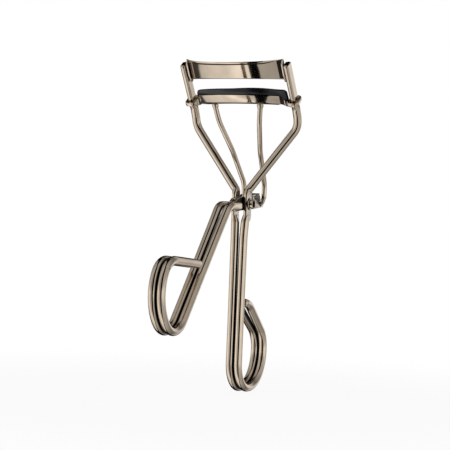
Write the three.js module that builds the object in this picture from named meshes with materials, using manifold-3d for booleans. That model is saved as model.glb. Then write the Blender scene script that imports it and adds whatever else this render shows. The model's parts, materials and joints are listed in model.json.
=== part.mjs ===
// Eyelash curler: a scissor-action tool bent from four wires, with a curved
// upper jaw, a sliding lower jaw that carries a rubber pad, and two finger loops.
// Millimetres. X runs along the pivot rivet, -Y is the side of the moving handle,
// +Z runs up the fixed handle. The origin is under the middle of the object, at
// the level of the fixed finger loop's lowest point.
import * as THREE from 'three';
import { mergeVertices } from 'three/addons/utils/BufferGeometryUtils.js';
import Module from 'manifold-3d';

// Where the pivot axis crosses X = 0.
const PIVOT = new THREE.Vector3(0, 20.33, 59.15);

// Wire stock.
const WIRE_D = 2.6;
const WIRE_SIDES = 12;
const HANDLE_X = 1.46;
const HANDLE_Y = -0.72;
const HANDLE_LEAN = THREE.MathUtils.degToRad(1);
const BEND_STEP = THREE.MathUtils.degToRad(13);

// Rails: the flattened top ends of the frame wires. They lean forward.
const RAIL_X = 17.2;
const RAIL_THICK = 1.6;
const RAIL_WIDE = 3.5;
const RAIL_LEAN = THREE.MathUtils.degToRad(35);
const RAIL_REF_Y = -0.9;
const RAIL_REF_Z = 31;
const RAIL_TOP_Z = 44;

// Flats that the rivet goes through.
const FLAT_X = 2.03;
const FLAT_Y = 0.1;
const FLAT_THICK = 1.25;
const FLAT_WIDE = 3.8;
const FLAT_HALF = 3.4;

// Finger loops, in a handle's own plane: w away from the straight run, s down it.
const LOOP_RADIUS_IN = 8.1;
const FIXED_LOOP = { width: 20.3, bottom: 57.7, radiusOut: 11.4, shoulder: 41.9, tip: 30.3 };
const MOVING_LOOP = { width: 19.7, bottom: 57.2, radiusOut: 11.6, shoulder: 42.7, tip: 29.8 };
const LOOP_SHOULDER_RADIUS = 7.8;
const LOOP_END_W = 3.1;

// Moving handle in its open position.
const OPEN_ANGLE = THREE.MathUtils.degToRad(41.85);
const LEVER_OFFSET = 9.66;
const LEVER_SHIFT = 6.3;
const LEVER_TIP_Y = -5.6;
const LEVER_TIP_Z = -0.75;

// Jaw arcs, seen along the rails: one centre for every arc.
const ARC_CENTRE = 14.4;
const UPPER_RADIUS = 21.2;
const UPPER_THICK = 0.8;
const UPPER_BOTTOM = 38;
const UPPER_BOTTOM_RISE = 0.4;
const UPPER_TOP = 42.75;
const UPPER_TOP_RISE = 1.1;
const UPPER_HALF_ANGLE = 0.835;
const UPPER_END_X = UPPER_RADIUS * Math.sin(UPPER_HALF_ANGLE);
const LIP_HEIGHT = 0.65;
const LIP_DEPTH = 0.35;
const TAB_TOP = 44.5;
const TAB_BOTTOM = 37.8;
const TAB_DEPTH = 1.3;

// Lower jaw: a channel, a cheek at each end and a ring round each rail.
const TROUGH_OUTER = 21.9;
const TROUGH_INNER = 18.6;
const TROUGH_WALL = 0.6;
const TROUGH_BOTTOM = 30.9;
const TROUGH_TOP = 33.3;
const TROUGH_HALF_ANGLE = 0.655;
const RING_Z = 32.05;
const RING_HEIGHT = 1.2;
const RING_BAND = 0.75;
const RING_CLEAR = 0.3;

// Rubber pad.
const PAD_TOP = 35.4;
const PAD_OUTER = 21.75;
const PAD_INNER = 18.75;
const PAD_HALF_ANGLE = 0.745;

// Push rods and the yoke that lifts them.
const ROD_D = 1.6;
const ROD_TOP = new THREE.Vector3(7.3, -5.2, 30.6);
const ROD_HOLE = new THREE.Vector3(3.45, 10, 0.35);
const HEAD_D = 2.3;
const HEAD_HEIGHT = 1;
const YOKE_TILT = THREE.MathUtils.degToRad(5);
const YOKE_HALF_IN = 1.05;
const YOKE_HALF_OUT = 2.35;
const YOKE_SHEET = 0.7;
const YOKE_HOLE_R = 1.1;

// Rivet.
const RIVET_R = 0.95;
const RIVET_HOLE_R = 1.25;
const RIVET_HEAD_R = 1.5;
const RIVET_HEAD_X = 2.96;
const RIVET_HEAD_THICK = 0.7;
const RIVET_TUBE_R = 1.2;
const RIVET_TUBE_END = 4.1;
const RIVET_BORE_R = 0.75;

const wasm = await Module();
wasm.setup();

const plated = new THREE.MeshStandardMaterial({ color: 0xcbb9a5, roughness: 0.22, metalness: 1 });
const coined = new THREE.MeshStandardMaterial({ color: 0xc4bcb2, roughness: 0.32, metalness: 1 });
const rubber = new THREE.MeshStandardMaterial({ color: 0x24262a, roughness: 0.6, metalness: 0 });

// ---------------------------------------------------------------- solids

function toManifold(geometry) {
  const bare = geometry.clone();
  bare.deleteAttribute('normal');
  bare.deleteAttribute('uv');
  const merged = mergeVertices(bare, 1e-4);
  return new wasm.Manifold(new wasm.Mesh({
    numProp: 3,
    vertProperties: new Float32Array(merged.attributes.position.array),
    triVerts: new Uint32Array(merged.index.array),
  }));
}

function toGeometry(manifold) {
  const mesh = manifold.getMesh();
  const geometry = new THREE.BufferGeometry();
  geometry.setAttribute('position', new THREE.BufferAttribute(new Float32Array(mesh.vertProperties), 3));
  geometry.setIndex(new THREE.BufferAttribute(new Uint32Array(mesh.triVerts), 1));
  return geometry;
}

function union(geometries) {
  return toGeometry(geometries.map(toManifold).reduce((sum, part) => sum.add(part)));
}

function cut(geometry, tools) {
  return toGeometry(tools.map(toManifold).reduce((rest, tool) => rest.subtract(tool), toManifold(geometry)));
}

function box(x0, x1, y0, y1, z0, z1) {
  const geometry = new THREE.BoxGeometry(x1 - x0, y1 - y0, z1 - z0);
  return geometry.translate((x0 + x1) / 2, (y0 + y1) / 2, (z0 + z1) / 2);
}

function cylinderX(radius, x0, x1, y, z, sides = 20) {
  const geometry = new THREE.CylinderGeometry(radius, radius, x1 - x0, sides);
  return geometry.rotateZ(-Math.PI / 2).translate((x0 + x1) / 2, y, z);
}

// ---------------------------------------------------------------- bent wires

// A path through given stations, with a section that keeps one face toward `facing`.
class WirePath extends THREE.Curve {
  constructor(stations, facing) {
    super();
    this.stations = stations;
    this.facing = facing;
  }

  getPoint(t, target = new THREE.Vector3()) {
    const last = this.stations.length - 1;
    const f = THREE.MathUtils.clamp(t, 0, 1) * last;
    const i = Math.min(Math.floor(f + 1e-9), last - 1);
    return target.lerpVectors(this.stations[i], this.stations[i + 1], f - i);
  }

  getPointAt(u, target) {
    return this.getPoint(u, target);
  }

  computeFrenetFrames(segments) {
    const tangents = [];
    const normals = [];
    const binormals = [];
    for (let i = 0; i <= segments; i += 1) {
      const before = this.stations[Math.max(i - 1, 0)];
      const here = this.stations[i];
      const after = this.stations[Math.min(i + 1, segments)];
      const tangent = new THREE.Vector3();
      if (i > 0) tangent.add(here.clone().sub(before).normalize());
      if (i < segments) tangent.add(after.clone().sub(here).normalize());
      tangent.normalize();
      const normal = this.facing.clone().addScaledVector(tangent, -this.facing.dot(tangent)).normalize();
      tangents.push(tangent);
      normals.push(normal);
      binormals.push(new THREE.Vector3().crossVectors(tangent, normal));
    }
    return { tangents, normals, binormals };
  }
}

// Corners joined by straight runs, each corner rounded to its own bend radius.
function bend(corners, facing = new THREE.Vector3(1, 0, 0)) {
  const stations = [corners[0].at.clone()];
  for (let i = 1; i < corners.length - 1; i += 1) {
    const { at, radius = 0 } = corners[i];
    const arriving = at.clone().sub(corners[i - 1].at).normalize();
    const leaving = corners[i + 1].at.clone().sub(at).normalize();
    const turn = arriving.angleTo(leaving);
    if (radius === 0 || turn < 1e-3) {
      stations.push(at.clone());
    } else {
      const back = radius * Math.tan(turn / 2);
      const inward = leaving.clone().sub(arriving).normalize();
      const centre = at.clone().addScaledVector(inward, Math.hypot(radius, back));
      const steps = Math.max(2, Math.ceil(turn / BEND_STEP));
      const spoke = at.clone().addScaledVector(arriving, -back).sub(centre);
      const axis = new THREE.Vector3().crossVectors(arriving, leaving).normalize();
      for (let k = 0; k <= steps; k += 1) {
        stations.push(spoke.clone().applyAxisAngle(axis, (turn * k) / steps).add(centre));
      }
    }
  }
  stations.push(corners[corners.length - 1].at.clone());
  return new WirePath(stations, facing);
}

function roundWire(path, diameter, sides = WIRE_SIDES) {
  const section = new THREE.Shape();
  for (let i = 0; i < sides; i += 1) {
    const a = (i / sides) * Math.PI * 2;
    const point = [Math.cos(a) * diameter / 2, Math.sin(a) * diameter / 2];
    if (i === 0) section.moveTo(...point);
    else section.lineTo(...point);
  }
  section.closePath();
  const geometry = new THREE.ExtrudeGeometry(section, {
    steps: path.stations.length - 1,
    extrudePath: path,
    curveSegments: 1,
  });
  geometry.deleteAttribute('normal');
  geometry.deleteAttribute('uv');
  return mergeVertices(geometry, 1e-4);
}

// Draws the section in toward its axis over the last `radius` of a straight end.
function roundEnd(geometry, tip, outward, radius) {
  const position = geometry.attributes.position;
  const p = new THREE.Vector3();
  for (let i = 0; i < position.count; i += 1) {
    p.fromBufferAttribute(position, i);
    const offset = p.clone().sub(tip);
    const depth = -offset.dot(outward);
    if (depth < radius && offset.length() < 3 * radius) {
      const radial = offset.clone().addScaledVector(outward, depth);
      const t = 1 - Math.max(depth, 0) / radius;
      const scale = Math.max(Math.sqrt(Math.max(1 - t * t, 0)), 0.35);
      p.sub(radial).addScaledVector(radial, scale);
      position.setXYZ(i, p.x, p.y, p.z);
    }
  }
  return geometry;
}

// Presses a straight stretch flat across X and lets it spread along its width.
function flatten(geometry, { at, along, half, blend, thick, wide }) {
  const across = new THREE.Vector3().crossVectors(along, new THREE.Vector3(1, 0, 0)).normalize();
  const position = geometry.attributes.position;
  const p = new THREE.Vector3();
  for (let i = 0; i < position.count; i += 1) {
    p.fromBufferAttribute(position, i);
    const offset = p.clone().sub(at);
    const share = 1 - THREE.MathUtils.smoothstep(Math.abs(offset.dot(along)), half, half + blend);
    if (share > 0 && Math.abs(offset.x) < 2 * WIRE_D) {
      const x = THREE.MathUtils.clamp(offset.x, -thick / 2, thick / 2);
      const spread = offset.dot(across) * (wide / WIRE_D - 1);
      p.x += share * (x - offset.x);
      p.addScaledVector(across, share * spread);
      position.setXYZ(i, p.x, p.y, p.z);
    }
  }
  return geometry;
}

// The finger loop's corners, given the handle's straight run and its outward side.
function loopCorners(start, down, out, { width, bottom, radiusOut, shoulder, tip: tipS }) {
  const at = (w, s) => start.clone().addScaledVector(down, s).addScaledVector(out, w);
  const tip = at(LOOP_END_W, tipS);
  const endward = tip.clone().sub(at(width, shoulder)).normalize();
  const inFromTip = (distance) => tip.clone().addScaledVector(endward, -distance);
  return [
    { at: at(0, bottom), radius: LOOP_RADIUS_IN },
    { at: at(width, bottom), radius: radiusOut },
    { at: at(width, shoulder), radius: LOOP_SHOULDER_RADIUS },
    { at: inFromTip(1.2) },
    { at: inFromTip(0.5) },
    { at: inFromTip(0.15) },
    { at: tip, outward: endward },
  ];
}

// ---------------------------------------------------------------- frame wires

const railUp = new THREE.Vector3(0, -Math.sin(RAIL_LEAN), Math.cos(RAIL_LEAN));
const railOut = new THREE.Vector3(0, Math.cos(RAIL_LEAN), Math.sin(RAIL_LEAN));
const railY = (z) => RAIL_REF_Y - Math.tan(RAIL_LEAN) * (z - RAIL_REF_Z);
const railPoint = (side, z) => new THREE.Vector3(side * RAIL_X, railY(z), z);

function frameWire(side) {
  const v = (x, y, z) => new THREE.Vector3(side * x, y, z);
  const down = new THREE.Vector3(0, -Math.sin(HANDLE_LEAN), -Math.cos(HANDLE_LEAN));
  const back = new THREE.Vector3(0, Math.cos(HANDLE_LEAN), -Math.sin(HANDLE_LEAN));
  const handle = v(HANDLE_X, HANDLE_Y, 0);
  const loop = loopCorners(handle, down, back, FIXED_LOOP);
  const corners = [
    { at: railPoint(side, RAIL_TOP_Z) },
    { at: railPoint(side, RAIL_TOP_Z - 0.15) },
    { at: railPoint(side, RAIL_TOP_Z - 0.5) },
    { at: railPoint(side, RAIL_TOP_Z - 1) },
    { at: railPoint(side, 31.2) },
    { at: railPoint(side, 30.5) },
    { at: railPoint(side, 29.8) },
    { at: v(RAIL_X, 1.35, 27.2), radius: 4 },
    { at: v(RAIL_X - 0.15, 2.25, 24.1), radius: 5.5 },
    { at: v(FLAT_X, FLAT_Y + 0.3, 4.25), radius: 1.8 },
    { at: v(FLAT_X, FLAT_Y, 3.3) },
    { at: v(FLAT_X, FLAT_Y, -3.3) },
    { at: v(FLAT_X, FLAT_Y, -3.9), radius: 1 },
    { at: v(1.65, -0.6, -5.6), radius: 2 },
    { at: handle.clone().addScaledVector(down, 10.5), radius: 9 },
    ...loop,
  ];
  const geometry = roundWire(bend(corners), WIRE_D);
  roundEnd(geometry, loop[loop.length - 1].at, loop[loop.length - 1].outward, 1.2);
  flatten(geometry, {
    at: v(FLAT_X, FLAT_Y, -0.1),
    along: new THREE.Vector3(0, 0, 1),
    half: FLAT_HALF,
    blend: 0.8,
    thick: FLAT_THICK,
    wide: FLAT_WIDE,
  });
  const railMid = railPoint(side, (RAIL_TOP_Z + 31.2) / 2);
  flatten(geometry, {
    at: railMid,
    along: railUp,
    half: (RAIL_TOP_Z - 31.2) / 2 / Math.cos(RAIL_LEAN),
    blend: 1.7,
    thick: RAIL_THICK,
    wide: RAIL_WIDE,
  });
  roundEnd(geometry, railPoint(side, RAIL_TOP_Z), railUp, 0.9);
  return cut(geometry, [cylinderX(RIVET_HOLE_R, -5, 5, 0, 0)]);
}

// ---------------------------------------------------------------- moving handle

const leverDown = new THREE.Vector3(0, -Math.sin(OPEN_ANGLE), -Math.cos(OPEN_ANGLE));
const leverOut = new THREE.Vector3(0, -Math.cos(OPEN_ANGLE), Math.sin(OPEN_ANGLE));

function leverWire(side) {
  const start = leverOut.clone().multiplyScalar(LEVER_OFFSET);
  start.addScaledVector(leverDown, LEVER_SHIFT);
  start.x = side * HANDLE_X;
  const loop = loopCorners(start, leverDown, leverOut, MOVING_LOOP);
  const reach = (LEVER_TIP_Z - start.z) / leverDown.z;
  const elbow = start.clone().addScaledVector(leverDown, reach);
  const tip = (inset) => ({ at: new THREE.Vector3(side * HANDLE_X, LEVER_TIP_Y - inset, LEVER_TIP_Z) });
  const corners = [
    tip(0),
    tip(0.15),
    tip(0.5),
    tip(1.2),
    { at: elbow, radius: 5.5 },
    ...loop,
  ];
  const geometry = roundWire(bend(corners), WIRE_D);
  roundEnd(geometry, tip(0).at, new THREE.Vector3(0, 1, 0), 1.2);
  roundEnd(geometry, loop[loop.length - 1].at, loop[loop.length - 1].outward, 1.2);
  const clear = YOKE_HALF_IN + 0.3;
  return cut(geometry, [box(-clear, clear, -8.4, 2, -6, 6)]);
}

// Sheet profile in the YZ plane, extruded across X between two planes.
function sideProfile(points, x0, x1, holes = []) {
  const shape = new THREE.Shape(points.map(([y, z]) => new THREE.Vector2(y, z)));
  for (const { y, z, radius } of holes) {
    shape.holes.push(new THREE.Path().absarc(y, z, radius, 0, Math.PI * 2, true));
  }
  const geometry = new THREE.ExtrudeGeometry(shape, { depth: x1 - x0, bevelEnabled: false, curveSegments: 10 });
  // Shape x becomes +Y, shape y becomes +Z and the depth becomes +X.
  geometry.applyMatrix4(new THREE.Matrix4().set(
    0, 0, 1, x0,
    1, 0, 0, 0,
    0, 1, 0, 0,
    0, 0, 0, 1,
  ));
  return geometry;
}

function yoke() {
  const tilt = new THREE.Matrix4().makeRotationX(YOKE_TILT);
  const untilt = (y, z) => new THREE.Vector3(0, y, z).applyAxisAngle(new THREE.Vector3(1, 0, 0), -YOKE_TILT);
  const hole = untilt(ROD_HOLE.y, ROD_HOLE.z);
  const cheek = [
    [-7.2, -1.9], [4.4, -1.9], [4.4, 2.7], [0.5, 2.5], [-5.6, 2.1], [-7.3, 1.2], [-8, -0.2], [-7.9, -1.3],
  ];
  const ear = [
    [3.7, -1.9], [11.4, -1.8], [12.2, -1.3], [12.5, -0.6], [12.3, 0.4], [11.7, 0.9],
    [7, 0.9], [5.4, 1.1], [4.4, 2.1], [3.7, 2.1],
  ];
  const parts = [];
  for (const side of [-1, 1]) {
    const inner = side * (YOKE_HALF_IN - YOKE_SHEET);
    const outer = side * YOKE_HALF_IN;
    parts.push(sideProfile(cheek, Math.min(inner, outer), Math.max(inner, outer)));
    const earIn = side * (YOKE_HALF_OUT - YOKE_SHEET);
    const earOut = side * YOKE_HALF_OUT;
    const earHole = [{ y: hole.y, z: hole.z, radius: YOKE_HOLE_R }];
    parts.push(sideProfile(ear, Math.min(earIn, earOut), Math.max(earIn, earOut), earHole));
  }
  const web = [[-5.6, 1.4], [0.5, 1.8], [4.4, 2], [4.4, 2.7], [0.5, 2.5], [-5.6, 2.1]];
  parts.push(sideProfile(web, -YOKE_HALF_IN, YOKE_HALF_IN));
  parts.push(box(-YOKE_HALF_OUT, YOKE_HALF_OUT, 3.7, 4.4, -1.9, 2.7));
  parts.push(box(-YOKE_HALF_OUT, YOKE_HALF_OUT, 3.7, 8.3, 2, 2.7));
  const body = union(parts);
  const bored = cut(body, [cylinderX(RIVET_HOLE_R, -3, 3, 0, 0)]);
  return bored.applyMatrix4(tilt);
}

function rivet() {
  const outer = RIVET_HEAD_X + RIVET_HEAD_THICK;
  const profile = [
    [0, -outer],
    [1, -outer],
    [RIVET_HEAD_R, -outer + 0.35],
    [RIVET_HEAD_R, -RIVET_HEAD_X],
    [RIVET_R, -RIVET_HEAD_X],
    [RIVET_R, RIVET_HEAD_X],
    [RIVET_HEAD_R, RIVET_HEAD_X],
    [RIVET_HEAD_R, RIVET_HEAD_X + 0.3],
    [RIVET_TUBE_R - 0.1, RIVET_HEAD_X + 0.4],
    [RIVET_TUBE_R, RIVET_TUBE_END - 0.25],
    [RIVET_TUBE_R - 0.15, RIVET_TUBE_END],
    [RIVET_BORE_R + 0.1, RIVET_TUBE_END],
    [RIVET_BORE_R, RIVET_TUBE_END - 0.2],
    [RIVET_BORE_R, RIVET_HEAD_X],
    [0, RIVET_HEAD_X - 0.3],
  ];
  const points = profile.map(([r, y]) => new THREE.Vector2(r, y));
  return new THREE.LatheGeometry(points, 20).rotateZ(-Math.PI / 2);
}

// ---------------------------------------------------------------- push rods

function pushRod(side) {
  const v = (x, y, z) => new THREE.Vector3(side * x, y, z);
  const hook = v(ROD_HOLE.x, ROD_HOLE.y, ROD_HOLE.z);
  const corners = [
    { at: v(ROD_TOP.x, ROD_TOP.y, ROD_TOP.z - HEAD_HEIGHT / 2) },
    { at: v(6.75, -4.1, 25.3), radius: 8 },
    { at: v(4.68, 2.5, 16.6), radius: 20 },
    { at: v(ROD_HOLE.x, ROD_HOLE.y + 0.2, 6.4), radius: 5 },
    { at: hook, radius: 1.1 },
    { at: v(1.35, ROD_HOLE.y, ROD_HOLE.z) },
  ];
  const rod = roundWire(bend(corners, new THREE.Vector3(0, 1, 0)), ROD_D, 8);
  const head = new THREE.CylinderGeometry(HEAD_D / 2, HEAD_D / 2 - 0.2, HEAD_HEIGHT, 16);
  head.rotateX(Math.PI / 2).translate(side * ROD_TOP.x, ROD_TOP.y, ROD_TOP.z - HEAD_HEIGHT / 2);
  return union([rod, head]);
}

// ---------------------------------------------------------------- jaws

// An arc band between two radii and two heights, leaning with the rails.
function leaningBand(inner, outer, halfAngle, z0, z1, segments = 24) {
  const points = [];
  for (let i = 0; i <= segments; i += 1) {
    const a = -halfAngle + (2 * halfAngle * i) / segments;
    points.push(new THREE.Vector2(outer * Math.sin(a), -outer * Math.cos(a)));
  }
  for (let i = segments; i >= 0; i -= 1) {
    const a = -halfAngle + (2 * halfAngle * i) / segments;
    points.push(new THREE.Vector2(inner * Math.sin(a), -inner * Math.cos(a)));
  }
  const geometry = new THREE.ExtrudeGeometry(new THREE.Shape(points), { depth: z1 - z0, bevelEnabled: false });
  return lean(geometry.translate(0, ARC_CENTRE, z0));
}

// Shears a solid made around Y = 0 so that it follows the rails' lean.
function lean(geometry) {
  const slope = Math.tan(RAIL_LEAN);
  return geometry.applyMatrix4(new THREE.Matrix4().set(
    1, 0, 0, 0,
    0, 1, -slope, RAIL_REF_Y + slope * RAIL_REF_Z,
    0, 0, 1, 0,
    0, 0, 0, 1,
  ));
}

function planPrism(points, z0, z1) {
  const shape = new THREE.Shape(points.map(([x, y]) => new THREE.Vector2(x, y)));
  const geometry = new THREE.ExtrudeGeometry(shape, { depth: z1 - z0, bevelEnabled: false });
  return lean(geometry.translate(0, 0, z0));
}

// Lifts a band's lower and upper edges toward its ends, along the rails' lean.
function raiseEnds(geometry, middleZ, lowerRise, upperRise) {
  const position = geometry.attributes.position;
  for (let i = 0; i < position.count; i += 1) {
    const z = position.getZ(i);
    const rise = (z > middleZ ? upperRise : lowerRise) * (position.getX(i) / UPPER_END_X) ** 2;
    position.setY(i, position.getY(i) - Math.tan(RAIL_LEAN) * rise);
    position.setZ(i, z + rise);
  }
  return geometry;
}

function upperJaw() {
  const inner = UPPER_RADIUS - UPPER_THICK / 2;
  const outer = UPPER_RADIUS + UPPER_THICK / 2;
  const strip = leaningBand(inner, outer, UPPER_HALF_ANGLE, UPPER_BOTTOM, UPPER_TOP);
  const lip = leaningBand(
    inner + 0.1, outer + LIP_DEPTH, UPPER_HALF_ANGLE - 0.06, UPPER_TOP - LIP_HEIGHT, UPPER_TOP,
  );
  const parts = [
    raiseEnds(strip, 40, UPPER_BOTTOM_RISE, UPPER_TOP_RISE),
    raiseEnds(lip, 40, UPPER_TOP_RISE, UPPER_TOP_RISE),
  ];
  const tabX = RAIL_X - RAIL_THICK / 2 - 0.32;
  const endY = ARC_CENTRE - UPPER_RADIUS * Math.cos(UPPER_HALF_ANGLE);
  for (const side of [-1, 1]) {
    const x0 = side < 0 ? -tabX : tabX - UPPER_THICK;
    parts.push(lean(box(x0, x0 + UPPER_THICK, endY - TAB_DEPTH, endY + 0.7, TAB_BOTTOM, TAB_TOP)));
  }
  return union(parts);
}

// A band bent round one rail, lying square to it.
function railRing(side) {
  const gapX = RAIL_THICK / 2 + RING_CLEAR;
  const gapY = RAIL_WIDE / 2 + RING_CLEAR;
  const loop = (dx, dy, r) => {
    const path = new THREE.Shape();
    path.moveTo(-dx + r, -dy);
    path.lineTo(dx - r, -dy);
    path.absarc(dx - r, -dy + r, r, -Math.PI / 2, 0);
    path.lineTo(dx, dy - r);
    path.absarc(dx - r, dy - r, r, 0, Math.PI / 2);
    path.lineTo(-dx + r, dy);
    path.absarc(-dx + r, dy - r, r, Math.PI / 2, Math.PI);
    path.lineTo(-dx, -dy + r);
    path.absarc(-dx + r, -dy + r, r, Math.PI, Math.PI * 1.5);
    return path;
  };
  const shape = loop(gapX + RING_BAND, gapY + RING_BAND, 1.7);
  shape.holes.push(loop(gapX, gapY, 0.8));
  const geometry = new THREE.ExtrudeGeometry(shape, {
    depth: RING_HEIGHT,
    bevelEnabled: false,
    curveSegments: 5,
  });
  geometry.translate(0, 0, -RING_HEIGHT / 2).rotateX(RAIL_LEAN);
  const centre = railPoint(side, RING_Z);
  return geometry.translate(centre.x, centre.y, centre.z);
}

function lowerJaw() {
  const faceX = (TROUGH_OUTER - TROUGH_WALL / 2) * Math.sin(TROUGH_HALF_ANGLE);
  const faceY = ARC_CENTRE - (TROUGH_OUTER - TROUGH_WALL / 2) * Math.cos(TROUGH_HALF_ANGLE);
  const parts = [
    leaningBand(TROUGH_INNER, TROUGH_OUTER, TROUGH_HALF_ANGLE, TROUGH_BOTTOM, TROUGH_BOTTOM + TROUGH_WALL),
    leaningBand(
      TROUGH_OUTER - TROUGH_WALL, TROUGH_OUTER, TROUGH_HALF_ANGLE, TROUGH_BOTTOM, TROUGH_TOP,
    ),
    leaningBand(
      TROUGH_INNER, TROUGH_INNER + TROUGH_WALL, TROUGH_HALF_ANGLE, TROUGH_BOTTOM, TROUGH_TOP,
    ),
  ];
  for (const side of [-1, 1]) {
    parts.push(railRing(side));
    const cheek = [
      [side * (faceX - 0.5), faceY + 0.25],
      [side * (faceX - 0.5), faceY - 0.75],
      [side * 15.9, -3.35],
      [side * 15.9, -2.35],
    ];
    parts.push(planPrism(side > 0 ? cheek.reverse() : cheek, TROUGH_BOTTOM - 0.35, TROUGH_TOP - 0.9));
  }
  return union(parts);
}

function pad() {
  return union([
    leaningBand(PAD_INNER, PAD_OUTER, PAD_HALF_ANGLE, TROUGH_TOP + 0.3, PAD_TOP - 0.5),
    leaningBand(PAD_INNER + 0.5, PAD_OUTER - 0.5, PAD_HALF_ANGLE - 0.02, PAD_TOP - 0.7, PAD_TOP),
    leaningBand(
      TROUGH_INNER + TROUGH_WALL + 0.3,
      TROUGH_OUTER - TROUGH_WALL - 0.3,
      TROUGH_HALF_ANGLE,
      TROUGH_BOTTOM + TROUGH_WALL + 0.3,
      TROUGH_TOP + 0.5,
    ),
  ]);
}

// ---------------------------------------------------------------- assembly

const curler = new THREE.Group();
curler.position.copy(PIVOT);

function place(name, geometry, material, parent = curler) {
  const mesh = new THREE.Mesh(geometry, material);
  mesh.name = name;
  parent.add(mesh);
  return mesh;
}

const sides = [['left', -1], ['right', 1]];
for (const [word, side] of sides) {
  place(`frame_wire_${word}`, frameWire(side), plated);
  place(`lever_wire_${word}`, leverWire(side), plated);
  place(`push_rod_${word}`, pushRod(side), plated);
}
place('lever_yoke', yoke(), coined);
place('pivot_rivet', rivet(), coined);
place('upper_jaw', upperJaw(), plated);
place('lower_jaw', lowerJaw(), plated);
place('rubber_pad', pad(), rubber);

const root = new THREE.Group();
root.add(curler);

export default root;
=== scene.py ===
import json
import math

import bpy
import numpy as np
from mathutils import Matrix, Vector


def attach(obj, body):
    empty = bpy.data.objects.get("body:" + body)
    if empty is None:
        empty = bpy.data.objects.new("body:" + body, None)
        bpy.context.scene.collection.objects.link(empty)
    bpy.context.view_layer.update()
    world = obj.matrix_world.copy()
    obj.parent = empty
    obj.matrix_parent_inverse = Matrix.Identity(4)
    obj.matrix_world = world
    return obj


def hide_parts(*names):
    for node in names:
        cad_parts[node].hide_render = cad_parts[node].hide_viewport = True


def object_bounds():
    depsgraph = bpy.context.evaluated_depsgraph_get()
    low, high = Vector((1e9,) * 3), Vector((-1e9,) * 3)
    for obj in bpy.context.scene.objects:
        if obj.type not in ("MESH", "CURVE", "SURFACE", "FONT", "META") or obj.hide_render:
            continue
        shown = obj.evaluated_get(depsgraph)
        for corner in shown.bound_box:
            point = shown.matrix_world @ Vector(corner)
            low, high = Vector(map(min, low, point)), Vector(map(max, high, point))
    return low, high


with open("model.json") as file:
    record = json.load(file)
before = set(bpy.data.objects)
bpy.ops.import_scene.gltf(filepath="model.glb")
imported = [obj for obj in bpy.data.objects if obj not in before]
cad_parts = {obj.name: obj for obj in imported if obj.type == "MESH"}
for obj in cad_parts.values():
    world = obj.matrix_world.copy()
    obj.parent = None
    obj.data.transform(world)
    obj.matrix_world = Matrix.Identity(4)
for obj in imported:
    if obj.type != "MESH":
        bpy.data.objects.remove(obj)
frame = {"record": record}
cad_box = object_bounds()

# ---------------------------------------------------------------------------
# Everything is laid out in millimetres from the lever pivot, then moved to the
# shared frame in metres. The middle plane is x = 0.
# ---------------------------------------------------------------------------
MM = 0.001
JOINTS = {j["name"]: j for j in frame["record"]["behaviour"]["joints"]}
PIVOT = np.array(JOINTS["lever_pivot"]["pos_m"])
HEAD = (np.array(JOINTS["rod_swing"]["pos_m"]) - PIVOT) / MM

# How far a handle wire's middle line lies off the middle plane: at the top of the handle, from
# LOOP_FROM down it to the finger loop's end, at the pivot's flat and at the lever's tip
HANDLE_X = 1.46
LOOP_X = 1.345
LOOP_FROM = 34
FLAT_X = 2.03
TIP_X = 1.62

# Other wire sizes; an end is as bar() takes it
WIRE_R = 1.3
HANDLE_Y = -0.72
HANDLE_LEAN = math.radians(1)
OPEN_ANGLE = math.radians(41.85)
WIRE_STEP = 0.42
LOOP_END = (1.2, 1.15, 1.15)
PIVOT_BORE_R = 1.02

# Rails: the upper, flattened part of the frame wires
RAIL_X = 17.2
RAIL_LEAN = math.radians(35)
RAIL_FOOT_Y = -0.9
RAIL_FOOT_Z = 31
RAIL_LOW_Z = 31.2
RAIL_TOP_Z = 42.9

# Jaws: both follow one level arc, moved back with the rails as they rise
ARC_CENTRE = 14.4
ARC_RADIUS = 21.2
TAB_X = (15.5, 16.12)
PAD_R = 20.25

# Push rods
ROD_R = 0.8
HOOK_R = 0.58
HOOK_HOLE_R = 0.98
HOOK_Y, HOOK_Z = 10.0, 0.32

# Yoke: where its cheeks and ears lie off the middle plane, and half its width
CHEEK_X = (0.35, 1.12)
EAR_X = (1.65, 2.35)
YOKE_HALF = 2.3
YOKE_TILT = math.radians(5)

# Edges sharper than this angle stay sharp in the shading
SHARP_WIRE = 40
SHARP_SHEET = 38


def vec(*xyz):
    return np.array(xyz, float)


def unit(v):
    v = np.asarray(v, float)
    return v / np.linalg.norm(v)


def smooth(t):
    """0 to 1 with level ends."""
    t = min(1.0, max(0.0, t))
    return t * t * (3 - 2 * t)


def rail_y(z):
    """Where the rails' middle line is at a height."""
    return RAIL_FOOT_Y - math.tan(RAIL_LEAN) * (z - RAIL_FOOT_Z)


X_AXIS = vec(1, 0, 0)
RAIL_UP = vec(0, -math.sin(RAIL_LEAN), math.cos(RAIL_LEAN))
RAIL_BACK = vec(0, math.cos(RAIL_LEAN), math.sin(RAIL_LEAN))


def lean(p):
    """A point drawn upright over the rails' foot, moved back along their lean."""
    return vec(p[0], p[1] + rail_y(p[2]), p[2])


# ---------------------------------------------------------------------------
# Mesh helpers
# ---------------------------------------------------------------------------
def make(name, verts, faces, materials, indices, sharp):
    """A mesh object from points in millimetres about the pivot."""
    co = np.asarray(verts, float) * MM + PIVOT
    mesh = bpy.data.meshes.new(name)
    mesh.from_pydata([tuple(c) for c in co], [], [tuple(f) for f in faces])
    for m in materials:
        mesh.materials.append(m)
    mesh.polygons.foreach_set("material_index", list(indices))
    mesh.polygons.foreach_set("use_smooth", [True] * len(mesh.polygons))
    mesh.validate()
    mesh.update()
    mesh.set_sharp_from_angle(angle=math.radians(sharp))
    obj = bpy.data.objects.new(name, mesh)
    bpy.context.scene.collection.objects.link(obj)
    return obj


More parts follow.
